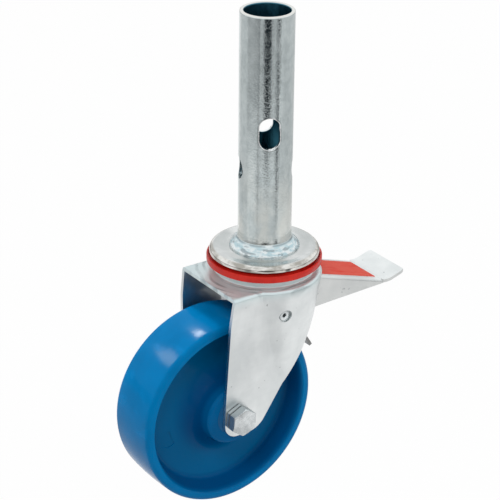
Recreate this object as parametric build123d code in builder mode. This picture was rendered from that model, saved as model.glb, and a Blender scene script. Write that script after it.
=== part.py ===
"""Scaffold castor: a tubular spigot on a ball-bearing swivel head, with a pressed fork, a wheel and a pedal brake.

Sizes are in millimetres and +Z is up. The origin is on the swivel axis where the spigot leaves its weld, which is
where a scaffold tube comes to rest. The fork trails towards -X and the brake pedal points to +X.
"""

import math
import os

from build123d import *

os.makedirs("parts", exist_ok=True)

# Spigot
spigot_diameter = 40.0
spigot_wall = 3.0
spigot_length = 183.0
spigot_rim_bevel = 0.8
slot_width = 15.0
slot_height = 24.0
slot_above_head = 95.4
slot_direction = -117.0
pin_hole_diameter = 17.0
pin_hole_above_head = 63.3
pin_hole_direction = -27.0
seam_turn = 127.5

# Weld round the spigot's foot
weld_height = 12.5
weld_reach = 6.3
weld_root = 1.0

# Swivel head, sized from the pressed bowl that it turns on
bowl_diameter = 74.0
head_diameter = bowl_diameter + 8.7
head_thickness = 4.5
head_dish = 0.7
head_rim_round = 2.9
head_rim_roll = 5.0
race_gap = 3.5
upper_ball_diameter = 5.5
upper_ball_row = bowl_diameter - 14.0
upper_ball_count = 10
lower_ball_diameter = 5.0
lower_ball_row = upper_ball_row - 12.0
lower_ball_count = 8
ball_clearance = 0.05
lower_race_gap = 3.4
lower_race_diameter = lower_ball_row + 10.0
lower_race_thickness = 3.5
lock_ring_diameter = lower_race_diameter - 4.0
lock_ring_thickness = 3.0
lock_tooth_height = 2.0
lock_tooth_count = 12
lock_nut_gap = 6.0
king_bolt_diameter = 12.0
king_head_diameter = 26.0
king_head_height = 7.0
king_nut_width = 19.0
king_nut_height = 10.0
king_bolt_overhang = 1.6
fit_clearance = 0.1

# Fork, pressed from one sheet
sheet = 3.0
bowl_opening = 28.0
bowl_corner = 1.5
bowl_foot = 1.5
crown_drop = 11.0
crown_bend = 3.0
crown_width = 70.4
fork_inner_width = 55.4
skirt_diameter = bowl_diameter + 14.2
skirt_taper_drop = 86.5
crown_front = -50.3
leg_front_upper = (-52.9, -41.0)
leg_front_lower_x = -55.9
leg_rear_lower_x = -25.6
leg_rear_middle = (12.8, -79.9)
leg_rear_upper = (46.5, -21.0)
leg_below_axle = 16.6
leg_front_round = 11.0
leg_rear_round = 18.0
pedal_window_width = 46.0
pedal_window_drop = 7.5
pedal_window_round = 4.0

# Dust seal
seal_diameter = bowl_diameter + 12.8
seal_wall = 1.4
seal_top = -6.9
seal_bottom = -11.8
seal_floor = 1.2
seal_lip = 1.1
seal_bore = bowl_diameter - 5.4
seal_clearance = 0.3

# Wheel and axle
axle_x = -45.0
axle_drop = 119.7
wheel_diameter = 150.0
wheel_width = 46.0
tread_crown = 0.7
wheel_edge_round = 4.0
rim_inner_diameter = 133.4
rim_step = 1.3
web_half_thickness = 6.0
web_foot_width = 6.5
hub_diameter = 47.0
hub_clearance = 0.3
ejector_mark_diameter = 13.4
ejector_mark_radius = 48.5
ejector_mark_angle = 200.6
ejector_mark_depth = 0.5
axle_bolt_diameter = 12.0
hex_width = 19.5
hex_turn = 24.0
hex_spacer_thickness = 3.9
bolt_head_height = 7.1
sleeve_diameter = 17.0
bush_diameter = 22.0
bush_length = 20.0
bush_flange_diameter = 30.0
bush_flange_thickness = 2.2
washer_diameter = 26.0
washer_thickness = 2.5
axle_nut_height = 11.0
axle_bolt_overhang = 3.0
running_clearance = 0.05

# Brake pedal, pressed from one sheet
pedal_sheet = 2.5
pedal_width = 42.6
pedal_bend = 2.6
pedal_web_front = (26.0, -24.8)
pedal_web_rear = (103.0, -49.45)
pedal_pad_end = (119.7, -44.5)
pedal_pad_width = 43.0
pedal_pad_start = 98.5
pedal_neck_round = 2.0
pedal_pad_round = 6.0
pedal_pad_bend = 18.0
flange_low_front = (34.5, -53.0)
flange_low_rear = (99.5, -51.2)
arm_low_front = (8.0, -57.0)
arm_tip = (-26.5, -29.0)
arm_tip_depth = 8.0
pivot_x = -8.0
pivot_drop = 41.6
pivot_diameter = 7.5
pivot_bore = 3.0
pivot_boss_radius = 8.5
pivot_head_diameter = 8.8
pivot_head_height = 1.1
pivot_recess_diameter = 10.2
pivot_seat_diameter = 12.0
pivot_seat_offset = 37.3
spacer_diameter = 12.0
strip_thickness = 0.3
strip_width = 31.0
strip_start = 36.0
strip_end = 95.5

# Brake shoe and swivel lock
brake_angle = 7.0
shoe_clearance = 0.3
shoe_thickness = 2.5
shoe_start = 21.8
shoe_end = 58.0
shoe_ear_start = 42.5
shoe_ear_end = 57.0
shoe_ear_height = 14.0
shoe_ear_round = 3.0
shoe_rivet_angle = 49.6
shoe_rivet_height = 11.0
shoe_rivet_diameter = 6.0
shoe_rivet_head = 9.5
shoe_rivet_head_height = 1.5
tongue_thickness = 4.0
tongue_depth = 8.0
tongue_clearance = 0.3

# Heights and radii that follow from the sizes above
head_top = -weld_height
spigot_radius = spigot_diameter / 2
spigot_inner_radius = spigot_radius - spigot_wall
head_radius = head_diameter / 2
head_underside = head_top - head_thickness
bowl_top = head_underside - race_gap
bowl_underside = bowl_top - sheet
bowl_radius = bowl_diameter / 2
crown_top = bowl_top - crown_drop
crown_underside = crown_top - sheet
skirt_radius = skirt_diameter / 2
fork_inner_half = fork_inner_width / 2
fork_half_width = fork_inner_half + sheet
skirt_slope = (skirt_radius - fork_half_width) / skirt_taper_drop
lower_race_top = bowl_underside - lower_race_gap
lock_ring_top = lower_race_top - lower_race_thickness
king_nut_top = lock_ring_top - lock_ring_thickness
lock_teeth_bottom = king_nut_top - lock_tooth_height
axle_z = head_top - axle_drop
leg_bottom = -axle_drop - leg_below_axle
wheel_radius = wheel_diameter / 2
hub_half = fork_inner_half - hub_clearance
pivot_z = head_top - pivot_drop
pivot_radius = pivot_diameter / 2
pedal_half_width = pedal_width / 2
cheek_inner = pedal_half_width - pedal_sheet
axle_line = Axis((axle_x, 0, axle_z), (0, 1, 0))
side_plane = Plane((0, 0, head_top), x_dir=(1, 0, 0), z_dir=(0, -1, 0))
axle_plane = Plane((axle_x, 0, axle_z), x_dir=(1, 0, 0), z_dir=(0, 0, 1))
axle_side = Plane((axle_x, 0, axle_z), x_dir=(1, 0, 0), z_dir=(0, -1, 0))
pivot_side = Plane((pivot_x, 0, pivot_z), x_dir=(1, 0, 0), z_dir=(0, -1, 0))

# The brake shoe's arc lies on the tread once the pedal has turned down by the brake angle
turn = math.radians(brake_angle)
reach_x = axle_x - pivot_x
reach_z = axle_z - pivot_z
shoe_x = pivot_x + reach_x * math.cos(turn) - reach_z * math.sin(turn)
shoe_z = pivot_z + reach_x * math.sin(turn) + reach_z * math.cos(turn)
shoe_side = Plane((shoe_x, 0, shoe_z), x_dir=(math.cos(turn), 0, math.sin(turn)), z_dir=(0, -1, 0))
shoe_inner = wheel_radius + shoe_clearance
shoe_outer = shoe_inner + shoe_thickness


def crosswise(height, direction):
    """Plane through the swivel axis at a height, facing a compass direction, with its own x pointing up."""
    facing = (math.cos(math.radians(direction)), math.sin(math.radians(direction)), 0)
    return Plane((0, 0, height), x_dir=(0, 0, 1), z_dir=facing)


def along_axle(distance):
    """Plane square to the axle at a distance along it, towards -Y."""
    return axle_side.offset(distance)


def from_shoe_centre(angle, height):
    """Point at an angle and a height above the shoe's outer face, on the plane of its arc."""
    distance = shoe_outer + height
    return (distance * math.cos(math.radians(angle)), distance * math.sin(math.radians(angle)))


shoe_rivet_spot = from_shoe_centre(shoe_rivet_angle, shoe_rivet_height)


# Spigot tube, ground back to a slight cone at its foot, where the weld runs into it
spigot_end = head_top + spigot_length
between_holes = math.radians(slot_direction + seam_turn)
seam_direction = (math.cos(between_holes), math.sin(between_holes), 0)
with BuildPart() as spigot:
    with BuildSketch(Plane((0, 0, 0), x_dir=seam_direction, z_dir=(seam_direction[1], -seam_direction[0], 0))):
        with BuildLine():
            Polyline(
                (spigot_inner_radius, head_top),
                (spigot_radius - weld_root, head_top),
                (spigot_radius, 0),
                (spigot_radius, spigot_end),
                (spigot_inner_radius, spigot_end),
                close=True,
            )
        make_face()
        chamfer(vertices().group_by(Axis.Y)[-1], spigot_rim_bevel)
    revolve(axis=Axis.Z)
    with BuildSketch(crosswise(head_top + slot_above_head, slot_direction)):
        SlotOverall(slot_height, slot_width)
    extrude(amount=spigot_diameter, both=True, mode=Mode.SUBTRACT)
    with BuildSketch(crosswise(head_top + pin_hole_above_head, pin_hole_direction)):
        Circle(pin_hole_diameter / 2)
    extrude(amount=spigot_diameter, both=True, mode=Mode.SUBTRACT)
spigot.part.label = "spigot"

# Weld bead
with BuildPart() as weld_bead:
    with BuildSketch(Plane.XZ):
        with BuildLine():
            root = (spigot_radius - weld_root, head_top)
            toe = (spigot_radius + weld_reach, head_top)
            shoulder = (spigot_radius + 0.75 * weld_reach, head_top + 0.33 * weld_height)
            Line(root, toe)
            ThreePointArc(toe, (toe[0] + 0.1, head_top + 0.14 * weld_height), shoulder)
            ThreePointArc(
                shoulder,
                (spigot_radius + 0.36 * weld_reach, head_top + 0.58 * weld_height),
                (spigot_radius, 0),
            )
            Line((spigot_radius, 0), root)
        make_face()
    revolve(axis=Axis.Z)
weld_bead.part.label = "weld_bead"

# Head plate, with the upper ball race pressed in its underside
upper_row = upper_ball_row / 2
upper_ball_z = head_underside - race_gap / 2
king_radius = king_bolt_diameter / 2
with BuildPart() as head_plate:
    with BuildSketch(side_plane):
        with BuildLine():
            flat_end = (spigot_radius + weld_reach + 1.2, 0)
            dish = (upper_row + 1.5, -head_dish)
            crest = (head_radius - head_rim_roll, -0.15)
            rim = (head_radius, -head_rim_round)
            Polyline((king_radius + fit_clearance, -head_thickness), (king_radius + fit_clearance, 0), flat_end)
            Spline(flat_end, dish, crest, tangents=((1, -0.05), (1, 0.05)))
            ThreePointArc(crest, (head_radius - 1.1, -0.85), rim)
            Polyline(rim, (head_radius, -head_thickness), (king_radius + fit_clearance, -head_thickness))
        make_face()
    revolve(axis=Axis.Z)
    with BuildSketch(Plane.XZ):
        with Locations((upper_row, upper_ball_z)):
            Circle(upper_ball_diameter / 2 + ball_clearance)
    revolve(axis=Axis.Z, mode=Mode.SUBTRACT)
head_plate.part.label = "head_plate"

# Upper and lower ball rows
with BuildPart() as upper_balls:
    with BuildSketch(Plane.XZ):
        Circle(upper_ball_diameter / 2)
        Rectangle(upper_ball_diameter, upper_ball_diameter, align=(Align.MAX, Align.CENTER), mode=Mode.SUBTRACT)
    ball = revolve(axis=Axis.Z, mode=Mode.PRIVATE)
    with Locations(Plane.XY.offset(upper_ball_z)):
        with PolarLocations(upper_row, upper_ball_count):
            add(ball)
upper_balls.part.label = "upper_balls"

lower_row = lower_ball_row / 2
lower_ball_z = bowl_underside - lower_race_gap / 2
with BuildPart() as lower_balls:
    with BuildSketch(Plane.XZ):
        Circle(lower_ball_diameter / 2)
        Rectangle(lower_ball_diameter, lower_ball_diameter, align=(Align.MAX, Align.CENTER), mode=Mode.SUBTRACT)
    small_ball = revolve(axis=Axis.Z, mode=Mode.PRIVATE)
    with Locations(Plane.XY.offset(lower_ball_z)):
        with PolarLocations(lower_row, lower_ball_count):
            add(small_ball)
lower_balls.part.label = "lower_balls"

# Lower race plate
with BuildPart() as lower_race:
    with BuildSketch(Plane.XY.offset(lower_race_top)):
        Circle(lower_race_diameter / 2)
        Circle(king_radius + fit_clearance, mode=Mode.SUBTRACT)
    extrude(amount=-lower_race_thickness)
    chamfer(edges().group_by(SortBy.LENGTH)[-1], 0.6)
    with BuildSketch(Plane.XZ):
        with Locations((lower_row, lower_ball_z)):
            Circle(lower_ball_diameter / 2 + ball_clearance)
    revolve(axis=Axis.Z, mode=Mode.SUBTRACT)
lower_race.part.label = "lower_race"

# Crown-toothed ring of the swivel lock
lock_radius = lock_ring_diameter / 2
tooth_length = lock_radius - lock_ring_thickness - king_nut_width / 2 - lock_nut_gap
with BuildPart() as lock_ring:
    with BuildSketch(Plane.XY.offset(lock_ring_top)):
        Circle(lock_radius)
        Circle(king_radius + fit_clearance, mode=Mode.SUBTRACT)
    extrude(amount=-lock_ring_thickness)
    with BuildSketch(Plane.XY.offset(king_nut_top)):
        with PolarLocations(lock_radius - 0.8 - tooth_length / 2, lock_tooth_count):
            Trapezoid(tooth_length, math.pi * lock_radius / lock_tooth_count * 0.8, 84)
    extrude(amount=-lock_tooth_height)
lock_ring.part.label = "lock_ring"

# King bolt, whose head sits inside the spigot
with BuildPart() as king_bolt:
    with BuildSketch(Plane.XY.offset(head_top)):
        RegularPolygon(king_head_diameter / 2, 6)
    extrude(amount=king_head_height)
    with BuildSketch(Plane.XY.offset(head_top)):
        Circle(king_radius)
    extrude(amount=king_nut_top - king_nut_height - king_bolt_overhang - head_top)
    chamfer(edges().group_by(Axis.Z)[0], 1.0)
king_bolt.part.label = "king_bolt"

with BuildPart() as king_nut:
    with BuildSketch(Plane.XY.offset(king_nut_top)):
        RegularPolygon(king_nut_width / 2, 6, major_radius=False)
        Circle(king_radius, mode=Mode.SUBTRACT)
    extrude(amount=-king_nut_height)
king_nut.part.label = "king_nut"


# Fork: the same form twice, once for the outside and once inset by the sheet, cut by one side profile
def fork_form(inset, overrun):
    """Solid inside the fork's outer faces, inset by a thickness and run past the sheet's open ends."""
    bottom = head_top + leg_bottom - overrun
    width = fork_half_width - inset
    shoulder = crown_width / 2 - inset
    top = crown_top - inset
    wall = bowl_radius - inset
    slant = inset * math.hypot(1, skirt_slope)
    foot = bowl_foot + 0.6 * inset
    bend = max(crown_bend - inset, 0.3)
    corner = max(bowl_corner - inset, 0.5)
    skirt_top = skirt_radius - slant - skirt_slope * inset
    narrowing = (skirt_top - width) / skirt_slope
    lean = math.atan(skirt_slope)
    bend_reach = bend * math.tan((math.pi / 2 - lean) / 2)
    rim_inner = (skirt_top - bend_reach, top)
    rim_outer = (skirt_top - bend_reach * math.sin(lean), top - bend_reach * math.cos(lean))
    with BuildPart() as form:
        with BuildSketch(Plane.YZ.offset(leg_front_lower_x - 1 - overrun)):
            with BuildLine():
                Polyline(
                    (-width, bottom),
                    (-width, top - narrowing),
                    (-shoulder, top),
                    (shoulder, top),
                    (width, top - narrowing),
                    (width, bottom),
                    close=True,
                )
            make_face()
            fillet(vertices().group_by(Axis.Y)[-1], bend)
        extrude(amount=1 + overrun - leg_front_lower_x)
        with BuildSketch(Plane.XZ):
            with BuildLine():
                Line((0, bottom), (0, bowl_top - inset))
                Line((0, bowl_top - inset), (wall - corner, bowl_top - inset))
                RadiusArc((wall - corner, bowl_top - inset), (wall, bowl_top - inset - corner), corner)
                Line((wall, bowl_top - inset - corner), (wall, top + foot))
                RadiusArc((wall, top + foot), (wall + foot, top), -foot)
                Line((wall + foot, top), rim_inner)
                RadiusArc(rim_inner, rim_outer, bend)
                Polyline(rim_outer, (width, top - narrowing), (width, bottom), (0, bottom))
            make_face()
        revolve(axis=Axis.Z)
    return form.part


fork_outside = fork_form(0, 0)
fork_inside = fork_form(sheet, 5)
crown_side = -crown_top + head_top
pivot_seat_inner = pivot_seat_offset - sheet
with BuildPart() as fork:
    add(fork_outside)
    add(fork_inside, mode=Mode.SUBTRACT)
    # Side profile of crown and legs, straight through both legs
    with BuildSketch(side_plane):
        with BuildLine():
            Polyline(
                (crown_front, 0),
                (crown_front, -crown_side - sheet / 2),
                leg_front_upper,
                (leg_front_lower_x, leg_bottom),
                (leg_rear_lower_x, leg_bottom),
                leg_rear_middle,
                leg_rear_upper,
                (leg_rear_upper[0], 0),
                close=True,
            )
        make_face()
        lower_corners = vertices().group_by(Axis.Y)[0].sort_by(Axis.X)
        fillet(lower_corners[0], leg_front_round)
        fillet(vertices().group_by(Axis.Y)[0].sort_by(Axis.X)[-1], leg_rear_round)
    extrude(amount=skirt_diameter, both=True, mode=Mode.INTERSECT)
    # Opening in the back of the skirt for the pedal
    with BuildSketch(Plane.YZ.offset(lower_row)):
        with Locations((0, crown_top - pedal_window_drop)):
            Rectangle(pedal_window_width, skirt_diameter, align=(Align.CENTER, Align.MAX))
        fillet(vertices().group_by(Axis.Y)[-1], pedal_window_round)
    extrude(amount=skirt_radius, mode=Mode.SUBTRACT)
    # Bearing opening and the lower ball race
    with BuildSketch(Plane.XY.offset(bowl_top)):
        Circle(bowl_opening / 2)
    extrude(amount=-sheet, mode=Mode.SUBTRACT)
    with BuildSketch(Plane.XZ):
        with Locations((upper_row, upper_ball_z)):
            Circle(upper_ball_diameter / 2 + ball_clearance)
        with Locations((lower_row, lower_ball_z)):
            Circle(lower_ball_diameter / 2 + ball_clearance)
    revolve(axis=Axis.Z, mode=Mode.SUBTRACT)
    # Sunk seats that the brake pivot is riveted on, one each side
    for side in (1, -1):
        with BuildSketch(pivot_side.offset(side * pivot_seat_offset)):
            Circle(pivot_recess_diameter / 2)
        extrude(amount=side * sheet * 2, mode=Mode.SUBTRACT)
        with BuildSketch(pivot_side.offset(side * pivot_seat_inner)):
            Circle(pivot_seat_diameter / 2)
        extrude(amount=side * sheet)
        with BuildSketch(pivot_side.offset(side * pivot_seat_inner)):
            Circle(pivot_seat_diameter / 2)
        extrude(amount=-side * sheet * 2, mode=Mode.SUBTRACT)
    with BuildSketch(pivot_side):
        Circle(pivot_radius + fit_clearance)
    extrude(amount=skirt_diameter, both=True, mode=Mode.SUBTRACT)
    with BuildSketch(axle_side):
        Circle(axle_bolt_diameter / 2 + fit_clearance)
    extrude(amount=skirt_diameter, both=True, mode=Mode.SUBTRACT)
fork.part.label = "fork"

# Dust seal, a channel-shaped ring clipped over the bowl's edge
seal_radius = seal_diameter / 2
seal_web_radius = bowl_radius + seal_clearance
with BuildPart() as dust_seal:
    with BuildSketch(side_plane):
        with BuildLine():
            Polyline(
                (seal_bore / 2, bowl_top - head_top),
                (seal_bore / 2, bowl_top - head_top + seal_lip),
                (seal_web_radius + seal_wall, bowl_top - head_top + seal_lip),
                (seal_web_radius + seal_wall, seal_bottom + seal_floor),
                (seal_radius - seal_wall, seal_bottom + seal_floor),
                (seal_radius - seal_wall, seal_top),
                (seal_radius, seal_top),
                (seal_radius, seal_bottom),
                (seal_web_radius, seal_bottom),
                (seal_web_radius, bowl_top - head_top),
                close=True,
            )
        make_face()
        fillet(vertices().group_by(Axis.X)[-1], 0.5)
    revolve(axis=Axis.Z)
dust_seal.part.label = "dust_seal"

# Brake pivot: a hollow rivet through both legs
pivot_length = 2 * (pivot_seat_offset + pivot_head_height)
with BuildPart() as pivot_pin:
    with BuildSketch(pivot_side):
        Circle(pivot_radius)
    extrude(amount=pivot_length / 2, both=True)
    for side in (1, -1):
        with BuildSketch(pivot_side.offset(side * pivot_seat_offset)):
            Circle(pivot_head_diameter / 2)
        extrude(amount=side * pivot_head_height)
    fillet(edges().group_by(Axis.Y)[0] + edges().group_by(Axis.Y)[-1], 1.0)
    with BuildSketch(pivot_side):
        Circle(pivot_bore / 2)
    extrude(amount=pivot_length / 2, both=True, mode=Mode.SUBTRACT)
    chamfer(edges().group_by(Axis.Y)[0] + edges().group_by(Axis.Y)[-1], 0.5)
pivot_pin.part.label = "pivot_pin"

with BuildPart() as pivot_spacers:
    for side in (1, -1):
        with BuildSketch(pivot_side.offset(side * pivot_seat_inner)):
            Circle(spacer_diameter / 2)
            Circle(pivot_radius + fit_clearance, mode=Mode.SUBTRACT)
        extrude(amount=side * (pedal_half_width + seal_clearance - pivot_seat_inner))
pivot_spacers.part.label = "pivot_spacers"

# Axle bolt, with its hex layer under the head and a washer and nut on the far side
bolt_radius = axle_bolt_diameter / 2
hex_layer_face = fork_half_width + hex_spacer_thickness
with BuildPart() as hex_spacer:
    with BuildSketch(along_axle(fork_half_width)):
        RegularPolygon(hex_width / 2, 6, major_radius=False, rotation=hex_turn)
        Circle(bolt_radius + fit_clearance, mode=Mode.SUBTRACT)
    extrude(amount=hex_spacer_thickness)
hex_spacer.part.label = "hex_spacer"

with BuildPart() as axle_bolt:
    with BuildSketch(along_axle(hex_layer_face)):
        RegularPolygon(hex_width / 2, 6, major_radius=False, rotation=hex_turn)
    extrude(amount=bolt_head_height)
    # Round chamfer of the head's face
    with BuildSketch(Plane((axle_x, 0, axle_z), x_dir=(1, 0, 0), z_dir=(0, 0, 1))):
        with BuildLine():
            corner = hex_width / 2 / math.cos(math.pi / 6)
            face = hex_layer_face + bolt_head_height
            Polyline(
                (hex_width / 2 - 0.2, -face),
                (corner + 1, -face),
                (corner + 1, -face + (corner + 1.2 - hex_width / 2) * 0.6),
                close=True,
            )
        make_face()
    revolve(axis=axle_line, mode=Mode.SUBTRACT)
    with BuildSketch(along_axle(hex_layer_face)):
        Circle(bolt_radius)
    tail = washer_thickness + axle_nut_height + axle_bolt_overhang
    extrude(amount=-(hex_layer_face + fork_half_width + tail))
    chamfer(edges().group_by(Axis.Y)[-1], 1.0)
axle_bolt.part.label = "axle_bolt"

with BuildPart() as axle_sleeve:
    with BuildSketch(axle_side):
        Circle(sleeve_diameter / 2)
        Circle(bolt_radius + fit_clearance, mode=Mode.SUBTRACT)
    extrude(amount=fork_inner_half, both=True)
axle_sleeve.part.label = "axle_sleeve"

with BuildPart() as axle_washer:
    with BuildSketch(along_axle(-fork_half_width)):
        Circle(washer_diameter / 2)
        Circle(bolt_radius + fit_clearance, mode=Mode.SUBTRACT)
    extrude(amount=-washer_thickness)
axle_washer.part.label = "axle_washer"

with BuildPart() as axle_nut:
    with BuildSketch(along_axle(-fork_half_width - washer_thickness)):
        RegularPolygon(hex_width / 2, 6, major_radius=False)
        Circle(bolt_radius, mode=Mode.SUBTRACT)
    extrude(amount=-axle_nut_height)
    chamfer(edges().filter_by(GeomType.LINE).group_by(Axis.Y)[-1], 0.8)
axle_nut.part.label = "axle_nut"

# Wheel, one moulding: tread, rim, dished web and hub
bush_radius = bush_diameter / 2
rim_radius = rim_inner_diameter / 2
wheel_half = wheel_width / 2
flange_radius = bush_flange_diameter / 2
with BuildPart() as wheel:
    with BuildSketch(axle_plane):
        with BuildLine():
            hub_face = (hub_diameter / 2 - 2.0, hub_half)
            hub_side = (hub_diameter / 2 + 0.3, hub_half - 3.0)
            web_inner = (2 * hub_diameter / 2 - 1.5, web_half_thickness)
            web_outer = (rim_radius - web_foot_width, web_half_thickness)
            rim_foot = (rim_radius - 3.3, web_half_thickness + 3.5)
            rim_mouth = (rim_radius, wheel_half - rim_step)
            side_inner = (rim_radius + rim_step, wheel_half)
            side_outer = (wheel_radius - tread_crown - wheel_edge_round, wheel_half)
            tread_edge = (wheel_radius - tread_crown, wheel_half - wheel_edge_round)
            Polyline(
                (wheel_radius, 0),
                (bush_radius, 0),
                (bush_radius, hub_half - bush_flange_thickness),
                (flange_radius, hub_half - bush_flange_thickness),
                (flange_radius, hub_half),
                hub_face,
            )
            RadiusArc(hub_face, hub_side, 2.6)
            Spline(hub_side, web_inner, tangents=((0.1, -1), (1, -0.02)))
            Line(web_inner, web_outer)
            RadiusArc(web_outer, rim_foot, -4.5)
            Polyline(rim_foot, rim_mouth, side_inner, side_outer)
            RadiusArc(side_outer, tread_edge, wheel_edge_round)
            RadiusArc(tread_edge, (wheel_radius, 0), (wheel_half - wheel_edge_round) ** 2 / (2 * tread_crown))
        make_face()
    revolve(axis=axle_line)
    mirror(about=Plane.XZ)
    with BuildSketch(along_axle(web_half_thickness)):
        with PolarLocations(ejector_mark_radius, 1, start_angle=ejector_mark_angle):
            Circle(ejector_mark_diameter / 2)
    extrude(amount=-ejector_mark_depth, mode=Mode.SUBTRACT)
wheel.part.label = "wheel"

with BuildPart() as hub_bushes:
    for side in (1, -1):
        with BuildSketch(along_axle(side * hub_half)):
            Circle(bush_radius)
            Circle(sleeve_diameter / 2 + running_clearance, mode=Mode.SUBTRACT)
        extrude(amount=-side * bush_length)
        with BuildSketch(along_axle(side * hub_half)):
            Circle(flange_radius)
            Circle(sleeve_diameter / 2 + running_clearance, mode=Mode.SUBTRACT)
        extrude(amount=-side * bush_flange_thickness)
hub_bushes.part.label = "hub_bushes"

# Foot pad of the pedal, a strip bent up from the end of the web
web_fall = (pedal_web_rear[1] - pedal_web_front[1]) / (pedal_web_rear[0] - pedal_web_front[0])


def on_web(x):
    """Point of the web's top face at a distance along X, in the side profile."""
    return (x, pedal_web_front[1] + web_fall * (x - pedal_web_front[0]))


with BuildPart() as foot_pad:
    with BuildSketch(side_plane):
        with BuildLine():
            top_face = FilletPolyline(
                on_web(pedal_pad_start - pedal_sheet), pedal_web_rear, pedal_pad_end, radius=pedal_pad_bend
            )
            offset(top_face, amount=pedal_sheet, side=Side.RIGHT)
        make_face()
    extrude(amount=pedal_pad_width / 2, both=True)
    pad_length = pedal_pad_end[0] + pedal_sheet - pedal_pad_start
    with BuildSketch(Plane.XY.offset(head_top)):
        with Locations((pedal_pad_start, 0)):
            Rectangle(pad_length, pedal_pad_width, align=(Align.MIN, Align.CENTER))
        fillet(vertices().group_by(Axis.X)[-1], pedal_pad_round)
        fillet(vertices().group_by(Axis.X)[0], pedal_neck_round)
    extrude(amount=-skirt_diameter, mode=Mode.INTERSECT)

# Pedal: channel with two cheeks, carried on the pivot
web_end = on_web(flange_low_rear[0])
web_length = math.dist(pedal_web_front, web_end)
web_under = pedal_sheet * math.hypot(1, web_fall)
with BuildPart() as brake_pedal:
    with BuildSketch(side_plane):
        with BuildLine():
            Polyline(
                pedal_web_front,
                web_end,
                flange_low_rear,
                flange_low_front,
                arm_low_front,
                (pivot_x, -pivot_drop - pivot_boss_radius),
                (arm_tip[0], arm_tip[1] - arm_tip_depth),
                arm_tip,
                close=True,
            )
        make_face()
        with Locations((pivot_x, -pivot_drop)):
            Circle(pivot_boss_radius)
    extrude(amount=pedal_half_width, both=True)
    long_edges = edges().filter_by(GeomType.LINE).filter_by(lambda e: abs(e.length - web_length) < 0.01)
    fillet(long_edges, pedal_bend)
    # The inside of the channel, open below and at both ends
    with BuildSketch(side_plane):
        with BuildLine():
            Polyline(
                (pedal_web_front[0] - 0.01, on_web(pedal_web_front[0])[1] - web_under),
                (flange_low_rear[0] + 1, on_web(flange_low_rear[0] + 1)[1] - web_under),
                (flange_low_rear[0] + 1, on_web(flange_low_rear[0])[1] - skirt_radius),
                (pedal_web_front[0] - 0.01, on_web(flange_low_rear[0])[1] - skirt_radius),
                close=True,
            )
        make_face()
    extrude(amount=cheek_inner, both=True, mode=Mode.SUBTRACT)
    with BuildSketch(side_plane):
        with Locations((pedal_web_front[0], 0)):
            Rectangle(skirt_diameter, 2 * skirt_diameter, align=(Align.MAX, Align.CENTER))
    extrude(amount=cheek_inner, both=True, mode=Mode.SUBTRACT)
    add(foot_pad.part)
    with BuildSketch(pivot_side):
        Circle(pivot_radius + running_clearance)
    extrude(amount=pedal_width, both=True, mode=Mode.SUBTRACT)
    with BuildSketch(shoe_side):
        with Locations(shoe_rivet_spot):
            Circle(shoe_rivet_diameter / 2)
    extrude(amount=pedal_width, both=True, mode=Mode.SUBTRACT)
brake_pedal.part.label = "brake_pedal"

# Strip on the flat of the web
strip_from = on_web(strip_start)
strip_length = math.dist(strip_from, on_web(strip_end))
web_along = Vector(1, 0, web_fall).normalized()
web_plane = Plane((strip_from[0], 0, head_top + strip_from[1]), x_dir=web_along, z_dir=(-web_fall, 0, 1))
with BuildPart() as pedal_strip:
    with BuildSketch(web_plane):
        Rectangle(strip_length, strip_width, align=(Align.MIN, Align.CENTER))
    extrude(amount=strip_thickness)
pedal_strip.part.label = "pedal_strip"

# Brake shoe, an arc with two ears that are riveted to the pedal's cheeks
shoe_half_width = cheek_inner - fit_clearance
ear_inner = shoe_half_width - pedal_sheet
with BuildPart() as brake_shoe:
    with BuildSketch(shoe_side):
        with BuildLine():
            outer_arc = CenterArc((0, 0), shoe_outer, shoe_start, shoe_end - shoe_start)
            inner_arc = CenterArc((0, 0), shoe_inner, shoe_start, shoe_end - shoe_start)
            Line(outer_arc @ 0, inner_arc @ 0)
            Line(outer_arc @ 1, inner_arc @ 1)
        make_face()
    extrude(amount=shoe_half_width, both=True)
    for side in (1, -1):
        with BuildSketch(shoe_side.offset(side * ear_inner)):
            with BuildLine():
                Polyline(
                    from_shoe_centre(shoe_ear_start, shoe_ear_height),
                    from_shoe_centre(shoe_ear_end, shoe_ear_height),
                    from_shoe_centre(shoe_ear_end, -shoe_thickness / 2),
                    from_shoe_centre(shoe_ear_start, -shoe_thickness / 2),
                    close=True,
                )
            make_face()
            fillet(vertices().sort_by(Axis.Y)[-2:], shoe_ear_round)
        extrude(amount=side * pedal_sheet)
    with BuildSketch(shoe_side):
        with Locations(shoe_rivet_spot):
            Circle(shoe_rivet_diameter / 2)
    extrude(amount=pedal_width, both=True, mode=Mode.SUBTRACT)
brake_shoe.part.label = "brake_shoe"

with BuildPart() as shoe_rivets:
    for side in (1, -1):
        with BuildSketch(shoe_side.offset(side * ear_inner)):
            with Locations(shoe_rivet_spot):
                Circle(shoe_rivet_diameter / 2)
        extrude(amount=side * (pedal_half_width - ear_inner))
        with BuildSketch(shoe_side.offset(side * pedal_half_width)):
            with Locations(shoe_rivet_spot):
                Circle(shoe_rivet_head / 2)
        extrude(amount=side * shoe_rivet_head_height)
        with BuildSketch(shoe_side.offset(side * ear_inner)):
            with Locations(shoe_rivet_spot):
                Circle(shoe_rivet_head / 2)
        extrude(amount=-side * shoe_rivet_head_height)
shoe_rivets.part.label = "shoe_rivets"

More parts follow.
